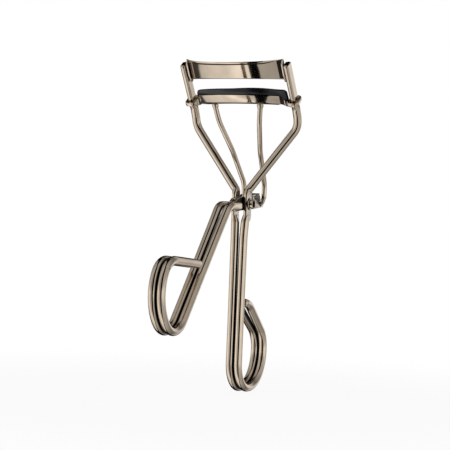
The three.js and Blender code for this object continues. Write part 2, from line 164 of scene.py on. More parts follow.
class Shell:
    """Points and faces of one or more closed skins."""

    def __init__(self):
        self.verts, self.faces, self.index = [], [], []

    def add(self, verts, faces, index=0):
        base = len(self.verts)
        self.verts.extend([np.asarray(v, float) for v in verts])
        self.faces.extend([tuple(base + i for i in f) for f in faces])
        if isinstance(index, int):
            index = [index] * len(faces)
        self.index.extend(index)
        return self

    def mirrored(self):
        """The same skin on the other side of the middle plane."""
        other = Shell()
        other.verts = [v * vec(-1, 1, 1) for v in self.verts]
        other.faces = [tuple(reversed(f)) for f in self.faces]
        other.index = list(self.index)
        return other

    def obj(self, name, materials, sharp):
        return make(name, self.verts, self.faces, materials, self.index, sharp)


def loft(rings, closed=False, index_of=None):
    """Rings of equal length joined by quads. The ends are capped unless closed."""
    n = len(rings[0])
    count = len(rings)
    verts = [p for ring in rings for p in ring]
    faces, index = [], []
    for i in range(count if closed else count - 1):
        a, b = i * n, ((i + 1) % count) * n
        for k in range(n):
            l = (k + 1) % n
            faces.append((a + k, a + l, b + l, b + k))
            index.append(index_of(i, k) if index_of else 0)
    if not closed:
        faces.append(tuple(reversed(range(n))))
        faces.append(tuple(range((count - 1) * n, count * n)))
        index += [0, 0]
    return verts, faces, index


def outward(verts, faces):
    """True if the skin's faces point out."""
    total = 0.0
    for f in faces:
        a = verts[f[0]]
        for i in range(1, len(f) - 1):
            total += np.dot(a, np.cross(verts[f[i]], verts[f[i + 1]]))
    return total > 0


def solid(verts, faces, index=0):
    """A shell whose faces point out."""
    if not outward(verts, faces):
        faces = [tuple(reversed(f)) for f in faces]
    return Shell().add(verts, faces, index)


def path_of(corners, step=0.5, turn=math.radians(5)):
    """Points along straight runs and exact round bends. A corner is (point, bend radius)."""
    pts = [np.asarray(corners[0][0], float)]

    def run(to):
        start = pts[-1]
        gap = np.linalg.norm(to - start)
        if gap < 1e-6:
            return
        n = max(1, int(math.ceil(gap / step)))
        for i in range(1, n + 1):
            pts.append(start + (to - start) * i / n)

    for i in range(1, len(corners) - 1):
        p, r = np.asarray(corners[i][0], float), corners[i][1]
        d0 = unit(p - np.asarray(corners[i - 1][0], float))
        d1 = unit(np.asarray(corners[i + 1][0], float) - p)
        angle = math.acos(max(-1, min(1, float(np.dot(d0, d1)))))
        if angle < 1e-3 or r <= 0:
            run(p)
            continue
        t = r * math.tan(angle / 2)
        start = p - d0 * t
        run(start)
        normal = unit(d1 - d0 * np.dot(d0, d1))
        n = max(2, int(math.ceil(max(angle / turn, angle * r / step))))
        for k in range(1, n + 1):
            a = angle * k / n
            pts.append(start + d0 * r * math.sin(a) + normal * r * (1 - math.cos(a)))
    run(np.asarray(corners[-1][0], float))
    return np.array(pts)


def round_outline(corners, seg=5):
    """A closed outline of 2-D corners (x, y, radius), each rounded by seg + 1 points."""
    out = []
    n = len(corners)
    for i in range(n):
        p = vec(*corners[i][:2])
        a, b = vec(*corners[i - 1][:2]), vec(*corners[(i + 1) % n][:2])
        la, lb = np.linalg.norm(a - p), np.linalg.norm(b - p)
        if la < 1e-9 or lb < 1e-9:
            out += [p] * (seg + 1)
            continue
        d0, d1 = (p - a) / la, (b - p) / lb
        angle = math.acos(max(-1, min(1, float(np.dot(d0, d1)))))
        if angle < 1e-3:
            out += [p] * (seg + 1)
            continue
        r = min(corners[i][2], 0.48 * min(la, lb) / math.tan(angle / 2))
        t = r * math.tan(angle / 2)
        normal = unit(d1 - d0 * np.dot(d0, d1))
        start = p - d0 * t
        for k in range(seg + 1):
            s = angle * k / seg
            out.append(start + d0 * r * math.sin(s) + normal * r * (1 - math.cos(s)))
    return out


def dense(outline, step):
    """The same outline with points no further apart than step."""
    out = []
    for i, p in enumerate(outline):
        q = outline[(i + 1) % len(outline)]
        n = max(1, int(math.ceil(np.linalg.norm(q - p) / step)))
        out += [p + (q - p) * k / n for k in range(n)]
    return out


def inset(outline, amount):
    """A 2-D outline moved inwards."""
    n = len(outline)
    area = sum(
        outline[i][0] * outline[(i + 1) % n][1] - outline[(i + 1) % n][0] * outline[i][1]
        for i in range(n)
    )
    sign = 1 if area > 0 else -1
    out = []
    for i in range(n):
        e0 = unit(outline[i] - outline[i - 1])
        e1 = unit(outline[(i + 1) % n] - outline[i])
        t = unit(e0 + e1)
        cos_half = max(0.5, float(np.dot(t, e1)))
        out.append(outline[i] + sign * vec(-t[1], t[0]) * amount / cos_half)
    return out


def plate(corners, place, low, high, bevel, seg, steps, index=0, caps=None):
    """A flat plate with rounded edges: a 2-D outline between two levels.

    It is put in space by place(u, v, w). caps gives the low and the high flat face their
    own material index."""
    outline = round_outline(corners, seg)
    outline = [p for i, p in enumerate(outline) if np.linalg.norm(p - outline[i - 1]) > 1e-5]
    rings = []
    for side in (0, 1):
        order = range(steps + 1) if side == 0 else range(steps, -1, -1)
        for k in order:
            a = math.pi / 2 * k / steps
            ring = inset(outline, bevel * (1 - math.sin(a)))
            depth = bevel * (1 - math.cos(a))
            w = low + depth if side == 0 else high - depth
            rings.append([place(p[0], p[1], w) for p in ring])
    v, f, _ = loft(rings)
    found = [index] * len(f)
    if caps:
        found[-2:] = caps
    return solid(v, f, found)


def lathe(profile, place, sides):
    """A turned shape from (radius, distance along the axis) points, closed at both ends."""
    verts, faces = [], []
    rings = []
    for r, h in profile:
        if r < 1e-6:
            rings.append([len(verts)])
            verts.append(place(0, 0, h))
        else:
            rings.append(list(range(len(verts), len(verts) + sides)))
            for k in range(sides):
                a = 2 * math.pi * k / sides
                verts.append(place(r * math.cos(a), r * math.sin(a), h))
    for a, b in zip(rings, rings[1:]):
        for k in range(sides):
            l = (k + 1) % sides
            if len(a) == 1:
                faces.append((a[0], b[k], b[l]))
            elif len(b) == 1:
                faces.append((a[k], b[0], a[l]))
            else:
                faces.append((a[k], b[k], b[l], a[l]))
    return solid(verts, faces)


def turned(points, seg=3):
    """A lathe profile whose corners (radius, height, rounding) are rounded."""
    out = [vec(*points[0][:2])]
    for i in range(1, len(points) - 1):
        p = vec(*points[i][:2])
        a, b = vec(*points[i - 1][:2]), vec(*points[i + 1][:2])
        la, lb = np.linalg.norm(a - p), np.linalg.norm(b - p)
        d0, d1 = (p - a) / la, (b - p) / lb
        angle = math.acos(max(-1, min(1, float(np.dot(d0, d1)))))
        if points[i][2] <= 0 or angle < 1e-3:
            out.append(p)
            continue
        r = min(points[i][2], 0.45 * min(la, lb) / math.tan(angle / 2))
        t = r * math.tan(angle / 2)
        normal = unit(d1 - d0 * np.dot(d0, d1))
        for k in range(seg + 1):
            s = angle * k / seg
            out.append(p - d0 * t + d0 * r * math.sin(s) + normal * r * (1 - math.cos(s)))
    out.append(vec(*points[-1][:2]))
    return out


def bar(points, wire_radius, facing, sides=40, flats=(), ends=(None, None), taper=None):
    """A wire along points. facing is the direction its section's first axis follows.

    A flat is a dict: centre, along, half, blend, thick, wide. There the wire is coined:
    its section is cut by two planes and spreads sideways. Its faces take material 1
    unless mark is False.
    An end is (height, shrink_a, shrink_b): how far the rounding reaches, and how much the
    section's two half widths lose in it."""
    pts = np.asarray(points, float)
    tangents = np.gradient(pts, axis=0)
    tangents /= np.linalg.norm(tangents, axis=1)[:, None]
    end_steps = 7

    def section(p, t, shrink=None):
        a = unit(facing - t * np.dot(facing, t))
        b = np.cross(t, a)
        radius = taper(p) if taper else wire_radius
        limit, spread, marked = radius, 1.0, True
        for f in flats:
            s = abs(float(np.dot(p - f["centre"], f["along"])))
            w = min(1.0, max(0.0, (f["half"] - s) / f["blend"]))
            if w > 0:
                limit = radius + (f["thick"] / 2 - radius) * w
                spread = 1 + (f["wide"] / (2 * radius) - 1) * smooth(w)
                marked = f.get("mark", True)
        ring, flat = [], []
        for k in range(sides):
            q = 2 * math.pi * (k + 0.5) / sides
            n, c = radius * math.cos(q), radius * math.sin(q)
            on_flat = abs(n) > limit + 1e-6
            n = max(-limit, min(limit, n))
            c *= spread
            if shrink:
                n = math.copysign(max(0, abs(n) - shrink[0] * abs(n) / limit), n)
                half = radius * spread
                c = math.copysign(max(0, abs(c) - shrink[1] * abs(c) / half), c)
            ring.append(p + a * n + b * c)
            flat.append(marked and on_flat and limit < radius - 0.06)
        return ring, flat

    def rounded(p, t, end, way):
        """The sections that close an end, from the wire outwards."""
        found = []
        for k in range(1, end_steps + 1):
            angle = math.pi / 2 * k / end_steps
            lost = 1 - math.cos(angle)
            spot = p + way * t * end[0] * math.sin(angle)
            found.append(section(spot, t, (end[1] * lost, end[2] * lost)))
        return found

    body = [section(p, t) for p, t in zip(pts, tangents)]
    if ends[0]:
        body = rounded(pts[0], tangents[0], ends[0], -1)[::-1] + body
    if ends[1]:
        body = body + rounded(pts[-1], tangents[-1], ends[1], 1)
    rings = [ring for ring, _ in body]
    marks = [flat for _, flat in body]

    def coined(i, k):
        l = (k + 1) % sides
        return int(marks[i][k] and marks[i][l] and marks[i + 1][k] and marks[i + 1][l])

    v, f, index = loft(rings, index_of=coined)
    return solid(v, f, index)


def union(name, shells, materials, sharp, cutters=()):
    """The shells fused into one skin, less the cutters."""
    parts = [s.obj(f"{name}_p{i}", materials, sharp) for i, s in enumerate(shells)]
    tools = [s.obj(f"{name}_c{i}", materials, sharp) for i, s in enumerate(cutters)]
    base = parts[0]
    for operand, how in [(p, "UNION") for p in parts[1:]] + [(c, "DIFFERENCE") for c in tools]:
        m = base.modifiers.new("join", "BOOLEAN")
        m.solver = "EXACT"
        m.operation = how
        m.object = operand
    dg = bpy.context.evaluated_depsgraph_get()
    mesh = bpy.data.meshes.new_from_object(base.evaluated_get(dg), depsgraph=dg)
    mesh.name = name
    for o in parts + tools:
        bpy.data.objects.remove(o, do_unlink=True)
    mesh.polygons.foreach_set("use_smooth", [True] * len(mesh.polygons))
    mesh.set_sharp_from_angle(angle=math.radians(sharp))
    obj = bpy.data.objects.new(name, mesh)
    bpy.context.scene.collection.objects.link(obj)
    return obj


# ---------------------------------------------------------------------------
# Materials
# ---------------------------------------------------------------------------
def nodes_of(name):
    mat = bpy.data.materials.new(name)
    mat.use_nodes = True
    tree = mat.node_tree
    tree.nodes.clear()
    out = tree.nodes.new("ShaderNodeOutputMaterial")
    bsdf = tree.nodes.new("ShaderNodeBsdfPrincipled")
    tree.links.new(bsdf.outputs["BSDF"], out.inputs["Surface"])
    return mat, tree, bsdf


def coords(tree, scale):
    tex = tree.nodes.new("ShaderNodeTexCoord")
    mapping = tree.nodes.new("ShaderNodeMapping")
    mapping.inputs["Scale"].default_value = scale
    tree.links.new(tex.outputs["Object"], mapping.inputs["Vector"])
    return mapping.outputs["Vector"]


def noise_of(tree, scale, vector_scale=(1, 1, 1), detail=4.0, rough=0.55):
    n = tree.nodes.new("ShaderNodeTexNoise")
    n.inputs["Scale"].default_value = scale
    n.inputs["Detail"].default_value = detail
    n.inputs["Roughness"].default_value = rough
    tree.links.new(coords(tree, vector_scale), n.inputs["Vector"])
    return n.outputs["Fac"]


def ramp(tree, value, stops):
    r = tree.nodes.new("ShaderNodeValToRGB")
    e = r.color_ramp.elements
    e[0].position, e[1].position = stops[0][0], stops[-1][0]
    e[0].color, e[1].color = (*stops[0][1], 1), (*stops[-1][1], 1)
    for pos, col in stops[1:-1]:
        e.new(pos).color = (*col, 1)
    tree.links.new(value, r.inputs["Fac"])
    return r.outputs["Color"]


def spread(tree, value, low, high):
    """A noise value stretched to run from low to high."""
    m = tree.nodes.new("ShaderNodeMapRange")
    m.inputs["From Min"].default_value = 0.3
    m.inputs["From Max"].default_value = 0.7
    m.inputs["To Min"].default_value = low
    m.inputs["To Max"].default_value = high
    tree.links.new(value, m.inputs["Value"])
    return m.outputs["Result"]


def bumped(tree, bsdf, layers):
    """Bump layers, coarse to fine: (height value, distance in metres, strength)."""
    normal = None
    for value, distance, strength in layers:
        b = tree.nodes.new("ShaderNodeBump")
        b.inputs["Distance"].default_value = distance
        b.inputs["Strength"].default_value = strength
        tree.links.new(value, b.inputs["Height"])
        if normal is not None:
            tree.links.new(normal, b.inputs["Normal"])
        normal = b.outputs["Normal"]
    tree.links.new(normal, bsdf.inputs["Normal"])


# Distances from the middle plane, in metres, between which the painted shade between paired wires fades
# out
CREVICE_FULL_SHADE, CREVICE_NO_SHADE = 0.00030, 0.00052


def plated(name, light, dark, rough, wave, scratch, grain=(1, 1, 1), crevice_shade=False):
    """Polished plating with slight tone drift, handling haze, fine lines and faint waviness.

    With crevice_shade, painted shade darkens the plating where the two wires of a pair all but touch."""
    mat, tree, bsdf = nodes_of(name)
    bsdf.inputs["Metallic"].default_value = 1.0
    drift = noise_of(tree, 260, detail=3)
    middle = tuple((a + b) / 2 for a, b in zip(light, dark))
    tone = ramp(tree, drift, [(0.32, dark), (0.5, middle), (0.68, light)])
    if crevice_shade:
        split = tree.nodes.new("ShaderNodeSeparateXYZ")
        tree.links.new(coords(tree, (1, 1, 1)), split.inputs["Vector"])
        near = tree.nodes.new("ShaderNodeMath")
        near.operation = "ABSOLUTE"
        tree.links.new(split.outputs["X"], near.inputs[0])
        shade_fade = tree.nodes.new("ShaderNodeMapRange")
        shade_fade.interpolation_type = "SMOOTHSTEP"
        shade_fade.inputs["From Min"].default_value = CREVICE_FULL_SHADE
        shade_fade.inputs["From Max"].default_value = CREVICE_NO_SHADE
        tree.links.new(near.outputs["Value"], shade_fade.inputs["Value"])
        blend = tree.nodes.new("ShaderNodeMix")
        blend.data_type = "RGBA"
        # painted shade: a near-black colour standing in for the shade between the paired wires
        blend.inputs["A"].default_value = (0.022, 0.019, 0.017, 1)
        tree.links.new(shade_fade.outputs["Result"], blend.inputs["Factor"])
        tree.links.new(tone, blend.inputs["B"])
        tone = blend.outputs["Result"]
    tree.links.new(tone, bsdf.inputs["Base Color"])
    haze = noise_of(tree, 900, detail=5, rough=0.62)
    tree.links.new(spread(tree, haze, rough[0], rough[1]), bsdf.inputs["Roughness"])
    lines = noise_of(tree, 2600, grain, detail=3)
    swell = noise_of(tree, 190, detail=1.5)
    bumped(tree, bsdf, [(swell, 0.00022, wave), (lines, 0.000004, scratch)])
    return mat


WARM = (0.545, 0.458, 0.366)
WARM_DARK = (0.48, 0.40, 0.315)
# the wire plating carries painted shade between the paired wires
wire_metal = plated("plated_wire", WARM, WARM_DARK, (0.05, 0.10), 0.05, 0.05, (1, 1, 0.15), crevice_shade=True)
strip_metal = plated("plated_strip", WARM, WARM_DARK, (0.05, 0.10), 0.20, 0.05, (0.2, 0.2, 1.6))
coined_metal = plated(
    "coined_steel", (0.54, 0.502, 0.45), (0.43, 0.398, 0.354), (0.18, 0.3), 0.14, 0.5, (1, 0.25, 1.4)
)
# painted shade: a near-black plating put on faces that stand in shade, such as grooves, hidden end faces
# and inner faces
painted_shade_metal = plated(
    "painted_shade", (0.034, 0.030, 0.026), (0.018, 0.016, 0.014), (0.25, 0.45), 0.2, 0.5
)
# painted shade: darker coined plating standing in for the dark reflection on the left flat above the
# rivet
painted_shade_flat_metal = plated(
    "painted_shade_flat", (0.17, 0.135, 0.11), (0.12, 0.095, 0.075), (0.15, 0.3), 0.1, 0.3
)


def rubber_material():
    mat, tree, bsdf = nodes_of("pad_rubber")
    cloud = noise_of(tree, 700, detail=4)
    tone = ramp(tree, cloud, [(0.3, (0.0022, 0.0027, 0.0037)), (0.7, (0.0046, 0.0056, 0.0076))])
    tree.links.new(tone, bsdf.inputs["Base Color"])
    bloom = noise_of(tree, 1800, detail=5)
    tree.links.new(spread(tree, bloom, 0.18, 0.30), bsdf.inputs["Roughness"])
    bsdf.inputs["Specular IOR Level"].default_value = 0.4
    grain = noise_of(tree, 9000, detail=3)
    swell = noise_of(tree, 320, detail=2)
    bumped(tree, bsdf, [(swell, 0.0002, 0.16), (grain, 0.00001, 0.5)])
    return mat


rubber = rubber_material()

# ---------------------------------------------------------------------------
# Frame wires: rail, diagonal, pivot flat, handle and finger loop
# ---------------------------------------------------------------------------
PIVOT_FLAT = dict(
    centre=vec(FLAT_X, 0.1, -0.3), along=vec(0, 0, 1), half=5.5, blend=2.5, thick=1.25, wide=3.8
)
RAIL_MID = (RAIL_LOW_Z + RAIL_TOP_Z) / 2
RAIL_FLAT = dict(
    centre=vec(RAIL_X, rail_y(RAIL_MID), RAIL_MID), along=RAIL_UP,
    half=(RAIL_TOP_Z - RAIL_LOW_Z) / 2 / math.cos(RAIL_LEAN) + 1.7, blend=2.2,
    thick=1.6, wide=3.5, mark=False,
)


def loop_corners(start, down, out, width, bottom, outer, shoulder, tips):
    """The finger loop's corners, measured down the handle and out from it."""
    def at(w, s):
        p = start + down * s + out * w
        return vec(LOOP_X, p[1], p[2])

    return [
        (at(0, bottom), 8.1),
        (at(width, bottom), outer),
        (at(width, shoulder), 7.8),
    ] + [(at(w, s), r) for w, s, r in tips]


def shorten(points, first, last):
    """The path less a length at each end."""
    for which, cut in ((0, first), (-1, last)):
        while cut > 1e-9 and len(points) > 2:
            a, b = (points[0], points[1]) if which == 0 else (points[-1], points[-2])
            gap = np.linalg.norm(b - a)
            if gap <= cut:
                points = points[1:] if which == 0 else points[:-1]
                cut -= gap
            else:
                moved = a + (b - a) * cut / gap
                points = points.copy()
                points[0 if which == 0 else -1] = moved
                cut = 0
    return points


def frame_wire(tips):
    """The right frame wire from the rail's top to the loop's end."""
    down = vec(0, -math.sin(HANDLE_LEAN), -math.cos(HANDLE_LEAN))
    back = vec(0, math.cos(HANDLE_LEAN), -math.sin(HANDLE_LEAN))
    handle = vec(HANDLE_X, HANDLE_Y, 0)
    mid = handle + down * LOOP_FROM
    corners = [
        (vec(RAIL_X, rail_y(RAIL_TOP_Z), RAIL_TOP_Z), 0),
        (vec(RAIL_X, rail_y(29.8), 29.8), 9),
        (vec(RAIL_X, 1.35, 27.2), 4),
        (vec(17.05, 2.25, 24.1), 5.5),
        (vec(FLAT_X, 0.4, 4.25), 1.8),
        (vec(FLAT_X, 0.1, 3.3), 3),
        (vec(FLAT_X, 0.1, -3.9), 1),
        (vec(1.65, -0.6, -5.6), 2),
        (handle + down * 10.5, 9),
        (vec(LOOP_X, mid[1], mid[2]), 60),
    ] + loop_corners(handle, down, back, 20.3, 57.7, 11.4, 41.9, tips)
    top_end = (0.45, 0.2, 0.6)
    pts = shorten(path_of(corners, WIRE_STEP), top_end[0], LOOP_END[0])
    return bar(pts, WIRE_R, X_AXIS, flats=(PIVOT_FLAT, RAIL_FLAT), ends=(top_end, LOOP_END))


def bore(radius, x0, x1, y=0.0, z=0.0, tilt=0.0):
    """A turned cutter along X."""
    c, s = math.cos(tilt), math.sin(tilt)

    def place(a, b, h):
        py, pz = y + a, z + b
        return vec(h, py * c - pz * s, py * s + pz * c)

    return lathe([(0, x0), (radius, x0), (radius, x1), (0, x1)], place, 56)


def cut_end(shell):
    """Marks the rail's sawn top end as bare metal."""
    for i, f in enumerate(shell.faces):
        if all(shell.verts[k][2] > RAIL_TOP_Z - 0.36 for k in f):
            shell.index[i] = 1
    return shell


right_wire = cut_end(frame_wire([(7.0, 31.5, 8), (2.9, 30.75, 0)]))
left_wire = cut_end(frame_wire([(3.1, 30.5, 0)]).mirrored())
# the left flat's inner face above the rivet gets painted shade: a darker plating that stands in for the
# dark reflection there
for i, f in enumerate(left_wire.faces):
    spots = [left_wire.verts[k] for k in f]
    if left_wire.index[i] == 1 and all(p[0] > -2.0 and p[2] > 0.8 for p in spots):
        left_wire.index[i] = 2

pieces = {}


def fuse(name, shells, materials, sharp, cutters=()):
    pieces[name] = union(name, shells, materials, sharp, cutters)


fuse(
    "frame_wire_right_skin", [right_wire], [wire_metal, coined_metal], SHARP_WIRE,
    [bore(PIVOT_BORE_R, 0.8, 3.4)],
)
fuse(
    "frame_wire_left_skin", [left_wire], [wire_metal, coined_metal, painted_shade_flat_metal], SHARP_WIRE,
    [bore(PIVOT_BORE_R, -3.4, -0.8)],
)

# ---------------------------------------------------------------------------
# Lever wires: short coined tip at the yoke, elbow, handle and finger loop
# ---------------------------------------------------------------------------
def lever_wire():
    """The right lever wire from its tip to the loop's end, in the open position."""
    down = vec(0, -math.sin(OPEN_ANGLE), -math.cos(OPEN_ANGLE))
    out = vec(0, -math.cos(OPEN_ANGLE), math.sin(OPEN_ANGLE))
    start = vec(HANDLE_X, 0, 0) + out * 9.66 + down * 6.3
    tip = vec(TIP_X, -5.0, -0.75)
    t = (tip[2] - start[2]) / down[2]
    elbow = vec(TIP_X, start[1] + down[1] * t, tip[2])
    low = start + down * 9
    mid = start + down * LOOP_FROM
    corners = [
        (tip, 0),
        (elbow, 5.5),
        (vec(HANDLE_X + 0.04, low[1], low[2]), 40),
        (vec(LOOP_X, mid[1], mid[2]), 60),
    ] + loop_corners(start, down, out, 19.7, 57.2, 11.6, 42.7, [(3.1, 29.8, 0)])
    tip_end = (1.1, 0.7, 1.15)
    pts = shorten(path_of(corners, WIRE_STEP), tip_end[0], LOOP_END[0])
    flat = dict(
        centre=vec(TIP_X, tip[1] - 1.0, tip[2]), along=vec(0, 1, 0), half=6.4, blend=5.5,
        thick=2.3, wide=2.62, mark=False,
    )
    return bar(pts, WIRE_R, X_AXIS, flats=(flat,), ends=(tip_end, LOOP_END))


right_lever = lever_wire()
for name, shell in (
    ("lever_wire_right_skin", right_lever),
    ("lever_wire_left_skin", right_lever.mirrored()),
):
    pieces[name] = shell.obj(name, [wire_metal, coined_metal], SHARP_WIRE)

# ---------------------------------------------------------------------------
# Upper jaw: arched strip with a rolled lip, and an upright tab at each end
# ---------------------------------------------------------------------------
def arc(rho, phi):
    """x and y on the jaws' arc, from a radius and an angle off the middle plane."""
    return rho * math.sin(phi), ARC_CENTRE - rho * math.cos(phi)


def upper_jaw():
    half = 0.835
    reach = math.sin(half) * ARC_RADIUS
    rings, deep = [], []
    n = 84
    for i in range(n + 1):
        phi = -half + 2 * half * i / n
        x_rel = abs(ARC_RADIUS * math.sin(phi)) / reach
        low = 38.0 + 0.4 * x_rel**2
        top = 42.75 + 1.1 * x_rel**2 + 0.4 * x_rel**6
        fade = 1 - smooth((abs(phi) - 0.50) / 0.30)
        lip = 0.02 + 0.46 * fade
        drop = 0.16 + 0.46 * fade
        profile = round_outline(
            [
                (20.82, low, 0.22),
                (21.58, low, 0.22),
                (21.56, top - drop - 0.02, 0.34),
                (21.58 + lip, top - drop, 0.16),
                (21.58 + lip, top, 0.26),
                (20.82, top, 0.3),
            ],
            4,
        )
        rings.append([lean((*arc(rho, phi), z)) for rho, z in profile])
        deep.append(fade > 0.35)

    def painted_shade_at(i, k):
        """Faces with painted shade: the groove under the lip, and the front face where it runs into a
        tab.
        """
        phi = -half + 2 * half * (i + 0.5) / n
        return int((deep[i] and 10 <= k <= 13) or (k == 9 and abs(phi) > 0.735))

    v, f, index = loft(rings, index_of=painted_shade_at)
    strip = solid(v, f, index)
    end_y = ARC_CENTRE - ARC_RADIUS * math.cos(half)

    def tab(side):
        outline = [
            (end_y - 0.1, 44.3, 0.3),
            (end_y - 1.35, 42.6, 0.8),
            (end_y - 1.5, 39.2, 0.8),
            (end_y - 1.0, 37.7, 0.55),
            (end_y + 0.1, 37.6, 0.6),
            (end_y + 0.75, 38.6, 0.6),
            (end_y + 0.75, 44.3, 0.3),
        ]
        lo, hi = TAB_X if side > 0 else (-TAB_X[1], -TAB_X[0])
        # both flat faces of each tab get painted shade
        return plate(outline, lambda y, z, x: lean((x, y, z)), lo, hi, 0.2, 5, 4, 0, [1, 1])

    return [strip, tab(1), tab(-1)]


fuse("upper_jaw_skin", upper_jaw(), [strip_metal, painted_shade_metal], SHARP_SHEET)

# ---------------------------------------------------------------------------
# Lower jaw: channel with free front-wall ends, cheeks and rail rings
# ---------------------------------------------------------------------------
def box_section(p, side, up, half_side, half_up, r):
    """A rounded rectangle across a path."""
    outline = round_outline(
        [
            (-half_side, -half_up, r), (half_side, -half_up, r),
            (half_side, half_up, r), (-half_side, half_up, r),
        ],
        4,
    )
    return [p + side * a + up * b for a, b in outline]


def channel():
    """The trough that holds the pad. Its two end faces get painted shade."""
    half = 0.66
    rings = []
    n = 66
    for i in range(n + 1):
        phi = -half + 2 * half * i / n
        profile = round_outline(
            [
                (18.6, 33.3, 0.14), (18.6, 30.9, 0.4), (21.9, 30.9, 0.4), (21.9, 33.3, 0.14),
                (21.3, 33.3, 0.14), (21.3, 31.5, 0.16), (19.2, 31.5, 0.16), (19.2, 33.3, 0.14),
            ],
            4,
        )
        rings.append([lean((*arc(rho, phi), z)) for rho, z in profile])
    v, f, index = loft(rings)
    # painted shade on the channel's two end faces
    index[-2:] = [1, 1]
    return solid(v, f, index)


def catmull(points, n):
    """A smooth curve through points, n samples a span."""
    pts = [np.asarray(p, float) for p in points]
    pts = [2 * pts[0] - pts[1]] + pts + [2 * pts[-1] - pts[-2]]
    out = []
    for i in range(1, len(pts) - 2):
        a, b, c, d = pts[i - 1 : i + 3]
        for k in range(n):
            t = k / n
            square = (2 * a - 5 * b + 4 * c - d) * t * t
            cube = (3 * b - a - 3 * c + d) * t**3
            out.append(0.5 * (2 * b + (c - a) * t + square + cube))
    out.append(pts[-2])
    return out


RING_Z = 32.05
RING_C = vec(RAIL_X, rail_y(RING_Z), RING_Z)


def cheek():
    """From behind the channel's front wall to the front of the rail ring.

    A station is x, y, the foot's z and the crest's z."""
    def space_y(rho, phi, z):
        return arc(rho, phi)[1] + rail_y(z)

    stations = [
        (11.6, space_y(20.95, 0.585, 32.1), 31.0, 33.15),
        (12.5, space_y(20.95, 0.64, 32.1), 31.0, 33.15),
        (13.3, space_y(20.95, 0.69, 32.1), 30.98, 33.12),
        (14.0, space_y(20.95, 0.73, 32.1) - 0.25, 30.8, 32.72),
        (14.7, -3.05 + 0.3, 30.55, 31.95),
        (15.5, -3.45 + 0.15, 30.32, 31.42),
        (16.4, -3.66, 30.2, 31.22),
        (17.3, -3.68, 30.18, 31.18),
    ]
    curve = catmull([vec(*s) for s in stations], 6)
    slope = RAIL_UP / RAIL_UP[2]
    rings = []
    for i, s in enumerate(curve):
        a = curve[max(0, i - 1)]
        b = curve[min(len(curve) - 1, i + 1)]
        t = unit(vec(b[0] - a[0], b[1] - a[1], 0))
        side = vec(t[1], -t[0], 0)
        tall = (s[3] - s[2]) / 2
        mid = vec(s[0], s[1], (s[2] + s[3]) / 2)
        rings.append(box_section(mid, side, slope, 0.32, tall, 0.16))
    # the stretch behind the channel's wall gets painted shade, standing in for its shadow
    v, f, index = loft(rings, index_of=lambda i, k: int(curve[i][0] < 14.15))
    return solid(v, f, index)


def rail_ring():
    """The ring that slides on the right rail."""
    half_x, half_w, r = 1.1 + 0.375, 2.05 + 0.375, 1.2
    corners = [(-half_x, -half_w, r), (half_x, -half_w, r), (half_x, half_w, r), (-half_x, half_w, r)]
    outline = dense(round_outline(corners, 10), 0.35)
    rings = []
    n = len(outline)
    for i, p in enumerate(outline):
        t2 = unit(outline[(i + 1) % n] - outline[i - 1])
        normal = vec(t2[1], 0, 0) + RAIL_BACK * (-t2[0])
        centre = RING_C + vec(p[0], 0, 0) + RAIL_BACK * p[1]
        rings.append(box_section(centre, normal, RAIL_UP, 0.37, 0.6, 0.2))
    v, f, _ = loft(rings, closed=True)
    return solid(v, f)


ring_r, cheek_r = rail_ring(), cheek()
fuse(
    "lower_jaw_skin",
    [channel(), cheek_r, cheek_r.mirrored(), ring_r, ring_r.mirrored()],
    [strip_metal, painted_shade_metal], SHARP_SHEET,
)

# ---------------------------------------------------------------------------
# Rubber pad
# ---------------------------------------------------------------------------
def pad():
    """The pad's body, and its stem in the channel."""
    half = 0.752
    rings = []
    n = 110
    for i in range(n + 1):
        u = -1 + 2 * i / n
        phi = half * u + 0.04 * (1 + u)
        # the ends close in over the last 0.95 mm
        left = (1 - abs(u)) * half * ARC_RADIUS / 0.95
        f = math.sqrt(max(0.0, 1 - max(0.0, 1 - left) ** 2))
        f = 0.18 + 0.82 * f
        lift = 0.3 * smooth((phi + 0.1) / 0.45) * (1 - 0.6 * smooth((phi - 0.42) / 0.3))
        droop = 1.55 * smooth((phi - 0.66) / 0.09)
        low, top = 33.34, 35.32 + lift
        mid = (low + top) / 2
        profile = round_outline(
            [
                (19.5, low, 0.25), (21.0, low, 0.25), (21.62, low + 0.02, 0.3), (21.78, mid - 0.3, 0.7),
                (21.3, top - 0.32, 0.55), (20.25, top + 0.04, 0.9), (19.2, top - 0.32, 0.55),
                (18.72, mid - 0.3, 0.7), (18.88, low + 0.02, 0.3),
            ],
            4,
        )
        ring = []
        for rho, z in profile:
            r2 = PAD_R + (rho - PAD_R) * f
            z2 = mid + (z - mid) * f
            if z < mid:
                z2 -= droop * f
            ring.append(lean((*arc(r2, phi), z2)))
        rings.append(ring)
    v, f, _ = loft(rings)
    body = solid(v, f)
    stem_rings = []
    for i in range(61):
        phi = -0.64 + 1.28 * i / 60
        profile = round_outline(
            [(19.45, 31.65, 0.25), (21.05, 31.65, 0.25), (21.05, 33.9, 0.1), (19.45, 33.9, 0.1)], 3
        )
        stem_rings.append([lean((*arc(rho, phi), z)) for rho, z in profile])
    v, f, _ = loft(stem_rings)
    return [body, solid(v, f)]


fuse("rubber_pad_skin", pad(), [rubber], 50)

